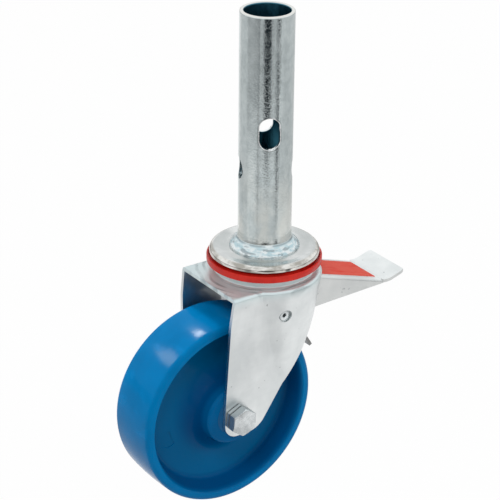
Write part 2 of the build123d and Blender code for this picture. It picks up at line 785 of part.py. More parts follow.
# Tongue of the swivel lock, whose teeth rise towards the ring as the pedal goes down
tongue_front = arm_tip[0] + 0.5
tongue_rise = (lock_teeth_bottom - tongue_clearance - pivot_z - (pivot_x - tongue_front) * math.sin(turn)) / math.cos(turn)
tongue_top = pivot_z + tongue_rise
with BuildPart() as lock_tongue:
    with BuildSketch(Plane((tongue_front, 0, tongue_top), x_dir=(0, 1, 0), z_dir=(1, 0, 0))):
        Rectangle(2 * cheek_inner, tongue_depth + lock_tooth_height, align=(Align.CENTER, Align.MAX))
        with Locations((0, -lock_tooth_height / 2)):
            with GridLocations(2 * math.pi * lock_radius / lock_tooth_count, 0, 4, 1):
                Trapezoid(math.pi * lock_radius / lock_tooth_count, lock_tooth_height, 80, rotation=180, mode=Mode.SUBTRACT)
    extrude(amount=tongue_thickness)
lock_tongue.part.label = "lock_tongue"

for piece in (
    spigot,
    weld_bead,
    head_plate,
    upper_balls,
    lower_balls,
    lower_race,
    lock_ring,
    king_bolt,
    king_nut,
    fork,
    dust_seal,
    pivot_pin,
    pivot_spacers,
    hex_spacer,
    axle_bolt,
    axle_sleeve,
    axle_washer,
    axle_nut,
    wheel,
    hub_bushes,
    brake_pedal,
    pedal_strip,
    brake_shoe,
    shoe_rivets,
    lock_tongue,
):
    export_step(piece.part, f"parts/{piece.part.label}.step")
    print(piece.part.label, len(piece.part.solids()), round(piece.part.volume))
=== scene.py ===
import math
import bpy
from mathutils import Matrix, Vector


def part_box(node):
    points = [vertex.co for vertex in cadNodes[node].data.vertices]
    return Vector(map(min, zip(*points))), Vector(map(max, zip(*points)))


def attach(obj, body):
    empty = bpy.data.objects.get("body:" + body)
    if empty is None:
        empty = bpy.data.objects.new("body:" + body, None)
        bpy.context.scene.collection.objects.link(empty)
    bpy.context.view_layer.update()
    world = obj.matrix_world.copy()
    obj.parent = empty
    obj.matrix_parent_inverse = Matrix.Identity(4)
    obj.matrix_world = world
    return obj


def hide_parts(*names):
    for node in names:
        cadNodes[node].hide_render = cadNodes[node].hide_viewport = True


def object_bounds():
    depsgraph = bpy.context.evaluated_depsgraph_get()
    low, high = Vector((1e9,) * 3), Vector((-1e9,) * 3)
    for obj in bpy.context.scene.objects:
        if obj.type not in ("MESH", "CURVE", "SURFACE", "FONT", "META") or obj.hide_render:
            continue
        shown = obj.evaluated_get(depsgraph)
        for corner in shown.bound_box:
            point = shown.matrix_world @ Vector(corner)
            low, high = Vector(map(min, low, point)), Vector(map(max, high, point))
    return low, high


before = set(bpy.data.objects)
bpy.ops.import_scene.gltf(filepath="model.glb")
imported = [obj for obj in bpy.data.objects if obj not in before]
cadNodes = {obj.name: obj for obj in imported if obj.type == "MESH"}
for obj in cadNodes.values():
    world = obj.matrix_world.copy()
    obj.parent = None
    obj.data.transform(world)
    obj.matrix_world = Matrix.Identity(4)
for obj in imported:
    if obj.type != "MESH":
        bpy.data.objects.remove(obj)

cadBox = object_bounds()
print("frame loaded,", len(cadNodes), "nodes")


# small helpers (sizes in the settings are millimetres and angles degrees, unless a note says otherwise)

joinWithin = 0.002
edgeSettings = {"smoothBelow": 32, "softenAbove": 38, "segments": 2}


def mm(value):
    return value * 0.001


def deselectAll():
    if bpy.context.mode != "OBJECT":
        bpy.ops.object.mode_set(mode="OBJECT")
    bpy.ops.object.select_all(action="DESELECT")


def takeUp(piece):
    deselectAll()
    piece.select_set(True)
    bpy.context.view_layer.objects.active = piece


def editAll(piece):
    takeUp(piece)
    bpy.ops.object.mode_set(mode="EDIT")
    bpy.ops.mesh.select_mode(type="VERT")
    bpy.ops.mesh.select_all(action="SELECT")


def placeInMesh(piece):
    takeUp(piece)
    bpy.ops.object.transform_apply(location=True, rotation=True, scale=True)


def smoothFaces(piece, below=edgeSettings["smoothBelow"]):
    # smooth except at edges sharper than this
    takeUp(piece)
    bpy.ops.object.shade_smooth_by_angle(angle=math.radians(below))


def softenEdges(piece, width, settings):
    takeUp(piece)
    edge = piece.modifiers.new("edge", "BEVEL")
    edge.width = mm(width)
    edge.segments = settings["segments"]
    edge.limit_method = "ANGLE"
    edge.angle_limit = math.radians(settings["softenAbove"])
    edge.use_clamp_overlap = True
    bpy.ops.object.modifier_apply(modifier=edge.name)
    smoothFaces(piece)


def hand(piece, body, finish, slotName, *standsFor):
    piece.data.materials.clear()
    piece.data.materials.append(finish)
    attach(piece, body)
    if standsFor:
        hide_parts(*standsFor)


def mergedCopy(nodeName, newName):
    # the CAD node's own shape, with its loose triangles joined so that edges can be worked
    piece = bpy.data.objects.new(newName, cadNodes[nodeName].data.copy())
    bpy.context.scene.collection.objects.link(piece)
    editAll(piece)
    bpy.ops.mesh.remove_doubles(threshold=mm(joinWithin))
    if piece.data.has_custom_normals:
        bpy.ops.mesh.customdata_custom_splitnormals_clear()
    placeInMesh(piece)
    smoothFaces(piece)
    return piece


def turnedPiece(name, outline, steps):
    # a ring round the swivel axis, drawn out through a closed outline of radius and height in metres
    reach, height = outline[0]
    deselectAll()
    bpy.ops.mesh.primitive_circle_add(vertices=steps, radius=reach, fill_type="NOTHING",
                                      location=(0, 0, height))
    piece = bpy.context.object
    piece.name = name
    placeInMesh(piece)
    editAll(piece)
    for nextReach, nextHeight in outline[1:] + outline[:1]:
        bpy.ops.mesh.extrude_region_move(TRANSFORM_OT_translate={"value": (0, 0, nextHeight - height)})
        widen = nextReach / reach
        bpy.ops.transform.resize(value=(widen, widen, 1), center_override=(0, 0, 0))
        reach, height = nextReach, nextHeight
    bpy.ops.mesh.select_all(action="SELECT")
    bpy.ops.mesh.remove_doubles(threshold=mm(joinWithin))
    bpy.ops.mesh.normals_make_consistent(inside=False)
    bpy.ops.object.mode_set(mode="OBJECT")
    return piece


# shader maths as plain expressions

class Value:
    def __init__(self, nodes, socket):
        self.nodes = nodes
        self.socket = socket

    def maths(self, operation, first, second=0.0):
        return self.nodes.node("ShaderNodeMath", {"operation": operation}, {0: first, 1: second})

    def __add__(self, other):
        return self.maths("ADD", self, other)

    def __radd__(self, other):
        return self.maths("ADD", other, self)

    def __sub__(self, other):
        return self.maths("SUBTRACT", self, other)

    def __rsub__(self, other):
        return self.maths("SUBTRACT", other, self)

    def __mul__(self, other):
        return self.maths("MULTIPLY", self, other)

    def __rmul__(self, other):
        return self.maths("MULTIPLY", other, self)

    def __truediv__(self, other):
        return self.maths("DIVIDE", self, other)

    def __pow__(self, other):
        return self.maths("POWER", self, other)

    def largest(self, other):
        return self.maths("MAXIMUM", self, other)


def distance(across, up):
    return (across * across + up * up) ** 0.5


def total(shares, **layers):
    # the layers that the shares name, each times its share, added up
    return sum(layers[name] * share for name, share in shares.items())


# a noise lies about this value, so a layer less this much makes a face as often smoother as rougher
noiseMiddle = 0.5
# a pattern drawn round the swivel axis joins on the side turned away from the camera
axisPattern = {"join": -125.6, "meanRadius": 24.0}


class Nodes:
    def __init__(self, owner):
        owner.use_nodes = True
        self.tree = owner.node_tree

    def node(self, kind, settings=None, inputs=None, out=0):
        made = self.tree.nodes.new(kind)
        for key, value in (settings or {}).items():
            setattr(made, key, value)
        for key, value in (inputs or {}).items():
            if isinstance(value, Value):
                self.tree.links.new(value.socket, made.inputs[key])
            else:
                made.inputs[key].default_value = value
        return Value(self, made.outputs[out] if made.outputs else None)

    def axes(self, output="Object"):
        # x, y and z of the place on the piece, or with "Normal" of the way the face looks
        vector = self.node("ShaderNodeTexCoord", out=output)
        return [self.node("ShaderNodeSeparateXYZ", None, {0: vector}, axis) for axis in "XYZ"]

    def step(self, value, low, high):
        # 0 at low and 1 at high, with a soft passage between them
        return self.node("ShaderNodeMapRange", {"interpolation_type": "SMOOTHSTEP"},
                         {0: value, 1: low, 2: high})

    def fade(self, place, ends):
        # the same, from the first to the second of two places
        return self.step(place, mm(ends[0]), mm(ends[1]))

    def blend(self, factor, first, second):
        return self.node("ShaderNodeMix", {"data_type": "RGBA"}, {0: factor, 6: first, 7: second}, 2)

    def noise(self, scale, detail=3.0, stretch=(1, 1, 1), turn=(0, 0, 0), roughness=0.55, limits=None):
        # turn in radians; with limits, the noise is stepped between them
        place = self.node("ShaderNodeTexCoord", out="Object")
        spot = self.node("ShaderNodeMapping", None, {"Vector": place, "Scale": stretch, "Rotation": turn})
        inputs = {"Vector": spot, "Scale": scale, "Detail": detail, "Roughness": roughness}
        pattern = self.node("ShaderNodeTexNoise", None, inputs, "Fac")
        return self.step(pattern, *limits) if limits else pattern

    def patterns(self, look, *names):
        return [self.noise(**look[name]) for name in names]

    def axisNoise(self, scale, stretch, detail=3.0, limits=None):
        # noise drawn out round the swivel axis
        x, y, z = self.axes()
        turn = math.radians(axisPattern["join"])
        front = x * math.cos(turn) + y * math.sin(turn)
        side = y * math.cos(turn) - x * math.sin(turn)
        around = side.maths("ARCTAN2", side, front) * mm(axisPattern["meanRadius"])
        spot = self.node("ShaderNodeCombineXYZ", None, {0: around / stretch, 1: distance(x, y), 2: z})
        inputs = {"Vector": spot, "Scale": scale, "Detail": detail}
        pattern = self.node("ShaderNodeTexNoise", None, inputs, "Fac")
        return self.step(pattern, *limits) if limits else pattern

    def seenBy(self, *rays):
        # 1 for the rays named, such as "Is Camera Ray"
        found = self.node("ShaderNodeLightPath", out=rays[0])
        for ray in rays[1:]:
            found = found.largest(self.node("ShaderNodeLightPath", out=ray))
        return found


class Finish(Nodes):
    def __init__(self, name, **constants):
        self.material = bpy.data.materials.new(name)
        super().__init__(self.material)
        self.shader = self.tree.nodes["Principled BSDF"]
        for socketName, value in constants.items():
            self.shader.inputs[socketName.replace("_", " ")].default_value = value

    def feed(self, socketName, value):
        self.tree.links.new(value.socket, self.shader.inputs[socketName])

    def paint(self, colour, roughness, relief, depth):
        self.feed("Base Color", colour)
        self.feed("Roughness", roughness)
        self.feed("Normal", self.node("ShaderNodeBump", None, {"Height": relief, "Distance": mm(depth)}))
        return self.material


def grey(level):
    return (level, level, level, 1)


# Each look below holds its colours and noises, the limits (two values of a noise) and the edges (two places)
# between which something fades in, and its shares: what each layer adds to the tone, roughness or relief

tubeLook = {
    "dark": (0.43, 0.485, 0.49, 1), "pale": (0.69, 0.75, 0.755, 1), "warm": (0.70, 0.70, 0.65, 1),
    # bore is painted shade inside the tube
    "bore": (0.05, 0.20, 0.28, 1), "cutEnd": (0.80, 0.79, 0.75, 1),
    # lip is a painted highlight round the cross slots, lipShade the painted shade outside it
    "lip": (0.86, 0.88, 0.87, 1), "lipShade": (0.16, 0.19, 0.20, 1),
    "cloud": {"scale": 46, "detail": 4, "stretch": (1, 1, 0.45)},
    "mottle": {"scale": 170, "detail": 5, "stretch": (1, 1, 0.8)},
    "speckle": {"scale": 760, "limits": (0.45, 0.64)},
    "drawn": {"scale": 420, "detail": 2, "stretch": (1, 1, 0.012)},
    "scuff": {"scale": 95, "detail": 6, "stretch": (1, 1, 0.5), "turn": (0, 0, 0.4), "limits": (0.56, 0.66)},
    "lipShadeBreaks": {"scale": 160, "detail": 2, "limits": (0.35, 0.6)},
    "toneShares": {"cloud": 0.40, "mottle": 0.30, "drawn": 0.30},
    "cloudLimits": (0.30, 0.70), "mottleLimits": (0.35, 0.65),
    "warmEdge": (75.0, 5.0), "warmLimits": (0.35, 0.6), "warmShare": 0.6,
    "roughness": 0.15, "roughShares": {"mottle": 0.08, "scuff": 0.10},
    "endShares": {"cutEnd": 0.15, "bore": 0.2},
    "reliefShares": {"drawn": 0.8, "mottle": 0.6, "speckle": 0.9, "scuff": 0.4, "cloud": 1.5},
    "depth": 0.035,
    # heights from the tube's top, and radii
    "cutEndEdge": (-1.1, -0.6), "boreEdge": (17.5, 17.1),
    # the cross slots as they are cut, and out from them the painted highlight of their lips and the painted
    # shade beyond
    "slotTurn": -27.0, "slotMiddle": 82.9, "slotHalfWidth": 7.5, "slotHalfStraight": 4.5,
    "lipHighlightEdge": (0.9, 0.5), "lipShadeEdge": (1.5, 0.9), "lipShadeShare": 0.8,
}


def tubeSurface(finish, look):
    # zinc-plated tube: drawn lines along its length, fine speckle, warmer low down
    z = finish.axes()[2]
    cloud, mottle, speckle, drawn, scuff = finish.patterns(
        look, "cloud", "mottle", "speckle", "drawn", "scuff")
    tone = total(look["toneShares"], cloud=finish.step(cloud, *look["cloudLimits"]),
                 mottle=finish.step(mottle, *look["mottleLimits"]), drawn=drawn)
    low = finish.fade(z, look["warmEdge"]) * finish.step(cloud, *look["warmLimits"])
    zinc = finish.blend(tone, look["dark"], look["pale"])
    colour = finish.blend(low * look["warmShare"], zinc, look["warm"])
    roughness = look["roughness"] + total(look["roughShares"], mottle=mottle - noiseMiddle, scuff=scuff)
    relief = total(look["reliefShares"], drawn=drawn, mottle=mottle, speckle=speckle, scuff=scuff,
                   cloud=cloud)
    return colour, roughness, relief


def tubeFinish(look):
    # the tube's cut end is bright, and its inside is painted dark as shade
    finish = Finish("zincTube", Metallic=1.0)
    colour, roughness, relief = tubeSurface(finish, look)
    x, y, z = finish.axes()
    bore = finish.fade(distance(x, y), look["boreEdge"])
    cutEnd = finish.fade(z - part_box("spigot")[1][2], look["cutEndEdge"]) * (1 - bore)
    # painted highlight as a bright lip round the cross slots, with a broken line of painted shade outside it
    turn = math.radians(look["slotTurn"])
    across = x * math.cos(turn) + y * math.sin(turn)
    fromMiddle = z - mm(look["slotMiddle"])
    pastStraight = ((fromMiddle * fromMiddle) ** 0.5 - mm(look["slotHalfStraight"])).largest(0.0)
    fromSlot = distance(across, pastStraight) - mm(look["slotHalfWidth"])
    lip = finish.fade(fromSlot, look["lipHighlightEdge"])
    lipShade = finish.fade(fromSlot, look["lipShadeEdge"]) * (1 - lip) * finish.noise(**look["lipShadeBreaks"])
    outside = finish.blend(cutEnd, colour, look["cutEnd"])
    outside = finish.blend(lipShade * look["lipShadeShare"], outside, look["lipShade"])
    outside = finish.blend(lip, outside, look["lip"])
    return finish.paint(finish.blend(bore, outside, look["bore"]),
                        roughness + total(look["endShares"], cutEnd=cutEnd, bore=bore),
                        relief, look["depth"])


sheetLook = {
    "dark": (0.62, 0.65, 0.655, 1), "pale": (0.86, 0.885, 0.885, 1), "spot": (0.45, 0.47, 0.47, 1),
    # crown and swirl colours are painted reflection under the seal
    "crown": (0.78, 0.97, 0.98, 1), "swirlReflection": (0.20, 0.34, 0.36, 1),
    "cloud": {"scale": 24},
    "patch": {"scale": 75, "detail": 4, "stretch": (1, 1, 0.6)},
    "fine": {"scale": 480, "detail": 4},
    "rolled": {"scale": 300, "detail": 2, "stretch": (0.12, 1, 1), "turn": (0, 0.2, 0)},
    "speck": {"scale": 210, "detail": 1, "limits": (0.75, 0.785)},
    "rub": {"scale": 60, "detail": 5, "stretch": (1, 6, 1), "turn": (0.4, 0.3, 0.7), "limits": (0.63, 0.68)},
    "toneShares": {"cloud": 0.5, "patch": 0.25, "fine": 0.15, "rolled": 0.2},
    "cloudLimits": (0.33, 0.68), "patchLimits": (0.35, 0.7),
    # painted light: faces that look up, as far out as the pedal's foot pad, have their colour times this
    # level
    "paintedTopLight": 1.0, "topLimits": (0.3, 0.8), "padEdge": (80.0, 100.0),
    # arcs round the swivel axis, arcRate in radians per metre, bent by a slow drift
    "arcRate": 1150.0, "arcDrift": 13.0, "arcLimits": (-0.1, 0.9),
    "drift": {"scale": 26, "detail": 2}, "arcPatch": {"scale": 38, "detail": 2, "limits": (0.40, 0.62)},
    "crownEdge": (-42.0, -24.0), "crownShare": 0.9, "crownDulling": 0.75,
    "roughness": 0.34, "roughShares": {"cloud": 0.14, "fine": 0.10, "rub": 0.08, "crown": 0.06},
    "reliefShares": {"rolled": 0.4, "fine": 0.25, "cloud": 2.5, "patch": 0.8, "speck": -0.6, "arcs": 5.0},
    "depth": 0.03,
}
pedalLook = {
    **sheetLook,
    "dark": (0.63, 0.65, 0.645, 1), "pale": (0.80, 0.81, 0.80, 1), "spot": (0.48, 0.50, 0.50, 1),
    "crown": (0.68, 0.72, 0.72, 1), "swirlReflection": (0.56, 0.60, 0.60, 1),
    "paintedTopLight": 1.18, "roughness": 0.40,
}


def sheetFinish(name, look):
    # clear zinc on pressed sheet: soft clouds, rolling lines, a few small dark specks and rub marks
    finish = Finish(name, Metallic=1.0)
    cloud, patch, fine, rolled, speck, rub, drift, arcPatch = finish.patterns(
        look, "cloud", "patch", "fine", "rolled", "speck", "rub", "drift", "arcPatch")
    tone = total(look["toneShares"], cloud=finish.step(cloud, *look["cloudLimits"]),
                 patch=finish.step(patch, *look["patchLimits"]), fine=fine, rolled=rolled)
    zinc = finish.blend(tone, look["dark"], look["pale"])
    sheet = finish.blend(speck, zinc, look["spot"])
    x, y, z = finish.axes()
    # painted light on faces that look up, which makes the pedal's tops lighter
    top = finish.step(finish.axes("Normal")[2], *look["topLimits"]) * finish.fade(x, look["padEdge"])
    shaded = finish.node("ShaderNodeVectorMath", {"operation": "SCALE"},
                         {0: sheet, "Scale": 1 - top * (1 - look["paintedTopLight"])})
    # painted reflection under the seal: pale and cool, with darker arcs painted as reflections along the
    # pressing's swirl marks, which are also bumped
    crown = finish.fade(z, look["crownEdge"])
    bentRadius = distance(x, y) * look["arcRate"] + drift * look["arcDrift"]
    arcs = bentRadius.maths("SINE", bentRadius)
    swirls = finish.step(arcs, *look["arcLimits"]) * arcPatch
    paintedCrownReflection = finish.blend(swirls, look["crown"], look["swirlReflection"])
    finish.feed("Metallic", 1 - crown * look["crownDulling"])
    roughness = look["roughness"] + total(look["roughShares"], cloud=cloud - noiseMiddle,
                                          fine=fine - noiseMiddle, rub=rub, crown=crown)
    relief = total(look["reliefShares"], rolled=rolled, fine=fine, cloud=cloud, patch=patch, speck=speck,
                   arcs=arcs * arcPatch * crown)
    return finish.paint(finish.blend(crown * look["crownShare"], shaded, paintedCrownReflection), roughness, relief,
                        look["depth"])


fastenerLook = {
    "dark": (0.46, 0.49, 0.50, 1), "pale": (0.82, 0.85, 0.86, 1), "side": (0.56, 0.61, 0.62, 1),
    "gap": (0.03, 0.04, 0.045, 1),
    "cloud": {"scale": 130}, "fine": {"scale": 520, "detail": 4},
    "toneShares": {"cloud": 0.7, "fine": 0.3}, "cloudLimits": (0.3, 0.7),
    # how far a face looks along the axle, squared
    "sideLimits": (0.6, 0.1), "sideShadeShare": 0.75,
    # the hex layer's two ends along the axle, and how far from them their dark lines of painted shade reach
    "gapPlaces": [corner[1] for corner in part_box("hex_spacer")], "gapReach": (0.75, 0.45),
    "roughness": 0.26, "roughShares": {"side": 0.24, "cloud": 0.12, "fine": 0.14},
    "reliefShares": {"fine": 0.6, "cloud": 1.2}, "depth": 0.04,
}


def fastenerFinish(name, look):
    # bolts, nuts and washers: their sides painted darker than their faces, as shade
    finish = Finish(name, Metallic=1.0)
    cloud, fine = finish.patterns(look, "cloud", "fine")
    alongAxle = finish.axes("Normal")[1]
    side = finish.step(alongAxle * alongAxle, *look["sideLimits"])
    tone = total(look["toneShares"], cloud=finish.step(cloud, *look["cloudLimits"]), fine=fine)
    steel = finish.blend(tone, look["dark"], look["pale"])
    # painted shade on the sides, which look across the axle
    steel = finish.blend(side * look["sideShadeShare"], steel, look["side"])
    # painted shade in the seams at the hex layer's ends, on the sides only
    outer, inner = (mm(reach) ** 2 for reach in look["gapReach"])
    fromGaps = [finish.axes()[1] - place for place in look["gapPlaces"]]
    gap = sum(finish.step(away * away, outer, inner) for away in fromGaps)
    roughness = look["roughness"] + total(look["roughShares"], side=side, cloud=cloud - noiseMiddle,
                                          fine=fine - noiseMiddle)
    relief = total(look["reliefShares"], fine=fine, cloud=cloud)
    return finish.paint(finish.blend(gap * side, steel, look["gap"]), roughness, relief, look["depth"])


headLook = {
    "dark": (0.58, 0.59, 0.58, 1), "pale": (0.87, 0.875, 0.86, 1), "shade": (0.48, 0.50, 0.49, 1),
    # rim colours are painted highlights and reflections on the polished rim
    "rimDarkReflection": (0.42, 0.40, 0.36, 1), "rimHighlight": (0.82, 0.80, 0.76, 1),
    "cloud": {"scale": 55, "detail": 4}, "around": {"scale": 70, "stretch": (1, 1, 3)},
    "fine": {"scale": 500},
    "patch": {"scale": 60, "stretch": 2.0, "detail": 1, "limits": (0.38, 0.62)}, "patchShare": 0.7,
    "ringsPerMetre": 1500.0,
    "toneShares": {"cloud": 0.65, "rings": 0.35}, "cloudLimits": (0.33, 0.66),
    "rimEdge": (37.7, 39.5), "rimLimits": (0.38, 0.60),
    "roughness": 0.25, "roughShares": {"cloud": 0.14, "fine": 0.08, "rim": -0.12},
    "reliefShares": {"rings": 0.6, "cloud": 2.5, "around": 2.0}, "depth": 0.035,
}


def headFinish(look):
    # turned dish with a polished rim, whose colour is painted in pale and dark streaks as highlights and
    # reflections
    finish = Finish("zincHead", Metallic=1.0)
    radius = distance(*finish.axes()[:2])
    rings = finish.node("ShaderNodeTexNoise", {"noise_dimensions": "1D"},
                        {"W": radius * look["ringsPerMetre"], "Scale": 1.0}, "Fac")
    cloud, around, fine = finish.patterns(look, "cloud", "around", "fine")
    rim = finish.fade(radius, look["rimEdge"])
    tone = total(look["toneShares"], cloud=finish.step(cloud, *look["cloudLimits"]), rings=rings)
    # painted shade in broad patches round the dish
    patch = finish.axisNoise(**look["patch"]) * look["patchShare"]
    dish = finish.blend(patch, finish.blend(tone, look["dark"], look["pale"]), look["shade"])
    # painted highlights and reflections in streaks round the polished rim
    polished = finish.blend(finish.step(around, *look["rimLimits"]), look["rimDarkReflection"], look["rimHighlight"])
    roughness = look["roughness"] + total(look["roughShares"], cloud=cloud - noiseMiddle,
                                          fine=fine - noiseMiddle, rim=rim)
    relief = total(look["reliefShares"], rings=rings * (1 - rim), cloud=cloud, around=around * rim)
    return finish.paint(finish.blend(rim, dish, polished), roughness, relief, look["depth"])


weldLook = {
    "dark": (0.34, 0.39, 0.41, 1), "pale": (0.80, 0.84, 0.84, 1), "blue": (0.50, 0.64, 0.68, 1),
    "cloud": {"scale": 90}, "rough": {"scale": 420, "detail": 5},
    "lumps": {"scale": 330, "stretch": 2.2}, "lumpLimits": (0.4, 0.6),
    "crack": {"scale": 420, "stretch": 3.2, "detail": 4, "limits": (0.46, 0.37)}, "crackShare": 0.85,
    "runLimits": (0.35, 0.65),
    # heights where the lumpy band sets in, where the tube's own finish does, and of the dark line between
    "bandEdge": (-5.4, -7.4), "tubeEdge": (-4.9, -4.3),
    "joinTop": (-4.4, -5.1), "joinFoot": (-6.2, -5.4), "joinLimits": (0.62, 0.42), "joinShare": 0.8,
    "roughness": 0.34, "roughShares": {"rough": 0.16, "band": -0.05},
    "reliefShares": {"rough": 0.15, "cloud": 0.9, "lumps": 1.5, "crack": -0.5}, "depth": 0.32,
    "tubeReliefShare": 0.11,
}


def weldFinish(look):
    # the bead's foot is a lumpy band, its upper part a smooth bluish run that ends on the tube
    finish = Finish("weldMetal", Metallic=1.0)
    z = finish.axes()[2]
    band = finish.fade(z, look["bandEdge"])
    onTube = finish.fade(z, look["tubeEdge"])
    join = finish.fade(z, look["joinTop"]) * finish.fade(z, look["joinFoot"]) * (1 - band)
    cloud, rough = finish.patterns(look, "cloud", "rough")
    lumps = finish.axisNoise(**look["lumps"])
    crack = finish.axisNoise(**look["crack"])
    run = finish.blend(finish.step(cloud, *look["runLimits"]), look["blue"], look["pale"])
    lumpy = finish.blend(finish.step(lumps, *look["lumpLimits"]), look["blue"], look["pale"])
    lumpy = finish.blend(crack * look["crackShare"], lumpy, look["dark"])
    bead = finish.blend(band, run, lumpy)
    joinLine = join * finish.step(cloud, *look["joinLimits"]) * look["joinShare"]
    bead = finish.blend(joinLine, bead, look["dark"])
    beadRoughness = look["roughness"] + total(look["roughShares"], rough=rough - noiseMiddle, band=band)
    beadRelief = total(look["reliefShares"], rough=rough, cloud=cloud, lumps=lumps * band,
                       crack=crack * band)
    colour, roughness, relief = tubeSurface(finish, tubeLook)
    return finish.paint(finish.blend(onTube, bead, colour),
                        beadRoughness * (1 - onTube) + roughness * onTube,
                        beadRelief * (1 - onTube) + relief * onTube * look["tubeReliefShare"],
                        look["depth"])


plasticLook = {
    "shine": 0.30, "cloud": {"scale": 70}, "fine": {"scale": 600}, "cloudLimits": (0.3, 0.7),
    "roughShares": {"fine": 0.14, "cloud": 0.10}, "reliefShares": {"fine": 0.5, "cloud": 0.8}, "depth": 0.03,
}
sealLook = {
    **plasticLook,
    "bright": (0.86, 0.034, 0.020, 1), "deep": (0.68, 0.020, 0.014, 1), "roughness": 0.36,
}
bushLook = {
    **plasticLook,
    "bright": (0.0, 0.13, 0.33, 1), "deep": (0.0, 0.10, 0.27, 1), "roughness": 0.42,
}


def plasticFinish(name, look):
    finish = Finish(name, Specular_IOR_Level=look["shine"])
    cloud, fine = finish.patterns(look, "cloud", "fine")
    colour = finish.blend(finish.step(cloud, *look["cloudLimits"]), look["deep"], look["bright"])
    roughness = look["roughness"] + total(look["roughShares"], fine=fine - noiseMiddle,
                                          cloud=cloud - noiseMiddle)
    return finish.paint(colour, roughness, total(look["reliefShares"], fine=fine, cloud=cloud),
                        look["depth"])


stripLook = {
    "bright": (1.0, 0.10, 0.055, 1), "deep": (0.97, 0.065, 0.036, 1), "shine": 0.22,
    "cloud": {"scale": 110}, "streak": {"scale": 170, "stretch": (0.25, 1.4, 0.25), "turn": (0, 0, 0.7)},
    "wornShares": {"streak": 0.7, "cloud": 0.3}, "streakLimits": (0.50, 0.66), "cloudLimits": (0.4, 0.75),
    "roughness": 0.50, "wornRoughness": 0.12, "reliefShares": {"cloud": 1.0, "streak": 0.5}, "depth": 0.02,
}


def stripFinish(look):
    # painted strip on the pedal: semi-matt, rubbed in faint slanting streaks
    finish = Finish("stripRed", Specular_IOR_Level=look["shine"])
    cloud, streak = finish.patterns(look, "cloud", "streak")
    worn = total(look["wornShares"], streak=finish.step(streak, *look["streakLimits"]),
                 cloud=finish.step(cloud, *look["cloudLimits"]))
    return finish.paint(finish.blend(worn, look["bright"], look["deep"]),
                        look["roughness"] + worn * look["wornRoughness"],
                        total(look["reliefShares"], cloud=cloud, streak=streak), look["depth"])


wheelLook = {
    "body": (0.0, 0.185, 0.46, 1), "pale": (0.0, 0.245, 0.60, 1),
    # inner and deep are painted shade inside the rim
    "inner": (0.0, 0.150, 0.36, 1), "deep": (0.0, 0.060, 0.21, 1), "shine": 0.05,
    "cloud": {"scale": 30}, "fine": {"scale": 700},
    "around": {"scale": 900, "detail": 2, "stretch": (0.06, 1, 0.06)},
    "rub": {"scale": 75, "detail": 5, "stretch": (1, 0.5, 1), "limits": (0.54, 0.70)},
    "toneShares": {"cloud": 0.6, "rub": 0.4}, "cloudLimits": (0.3, 0.7),
    # radii from the wheel's own axis
    "treadEdge": (72.6, 74.0), "insideEdge": (68.5, 65.5), "hubFootEdge": (44.0, 27.0),
    "wallFootEdge": (58.0, 64.0), "hubEndEdge": (25.2, 23.6),
    "cornerShadeShares": {"hubFoot": 0.8, "wallFoot": 0.75}, "hubEndShare": 0.5,
    "roughness": 0.15, "roughShares": {"cloud": 0.06, "fine": 0.05, "rub": 0.14},
    "reliefShares": {"fine": 0.22, "around": 0.3, "cloud": 3.0}, "depth": 0.03,
}


def wheelFinish(look):
    # glossy moulded plastic, painted darker inside the rim as shade, with fine lines and rub marks round the
    # tread
    finish = Finish("wheelBlue", Specular_IOR_Level=look["shine"])
    x, _, z = finish.axes()
    low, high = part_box("wheel")
    radius = distance(x - (low[0] + high[0]) / 2, z - (low[2] + high[2]) / 2)
    cloud, fine, around, rub = finish.patterns(look, "cloud", "fine", "around", "rub")
    tread = finish.fade(radius, look["treadEdge"])
    rub = rub * tread
    tone = total(look["toneShares"], cloud=finish.step(cloud, *look["cloudLimits"]), rub=rub)
    outer = finish.blend(tone, look["body"], look["pale"])
    # painted shade, deepest at the hub's foot and the rim's inner wall
    cornerShade = total(look["cornerShadeShares"], hubFoot=finish.fade(radius, look["hubFootEdge"]),
                    wallFoot=finish.fade(radius, look["wallFootEdge"]))
    inner = finish.blend(cornerShade, look["inner"], look["deep"])
    # the hub's end face is kept lighter, with less of the painted shade
    hubEnd = finish.fade(radius, look["hubEndEdge"]) * look["hubEndShare"]
    inner = finish.blend(hubEnd, inner, look["body"])
    roughness = look["roughness"] + total(look["roughShares"], cloud=cloud - noiseMiddle,
                                          fine=fine - noiseMiddle, rub=rub)
    relief = total(look["reliefShares"], fine=fine, around=around * tread, cloud=cloud)
    return finish.paint(finish.blend(finish.fade(radius, look["insideEdge"]), outer, inner),
                        roughness, relief, look["depth"])


steelLook = {"cloud": {"scale": 160}, "fine": {"scale": 800}, "fineRoughness": 0.12, "depth": 0.01}
bearingLook = {**steelLook, "dark": grey(0.38), "pale": grey(0.62), "roughness": 0.18}
springLook = {**steelLook, "dark": grey(0.16), "pale": grey(0.30), "roughness": 0.35}


def steelFinish(name, look):
    finish = Finish(name, Metallic=1.0)
    cloud, fine = finish.patterns(look, "cloud", "fine")
    return finish.paint(finish.blend(cloud, look["dark"], look["pale"]),
                        look["roughness"] + (fine - noiseMiddle) * look["fineRoughness"],
                        fine, look["depth"])


finishes = {
    "zinc_tube": tubeFinish(tubeLook),
    "zinc_sheet": sheetFinish("zincSheet", sheetLook),
    "zinc_fastener": fastenerFinish("zincFastener", fastenerLook),
    "zinc_head": headFinish(headLook),
    "weld_metal": weldFinish(weldLook),
    "seal_red": plasticFinish("sealRed", sealLook),
    "strip_red": stripFinish(stripLook),
    "wheel_blue": wheelFinish(wheelLook),
    "bush_plastic": plasticFinish("bushPlastic", bushLook),
    "bearing_steel": steelFinish("bearingSteel", bearingLook),
    "spring_steel": steelFinish("springSteel", springLook),
}
# nodes that differ from the rest of their slot
ownFinishes = {"brake_pedal": sheetFinish("zincPedal", pedalLook)}
print("finishes made,", len(finishes) + len(ownFinishes))


# worked copies of the CAD nodes

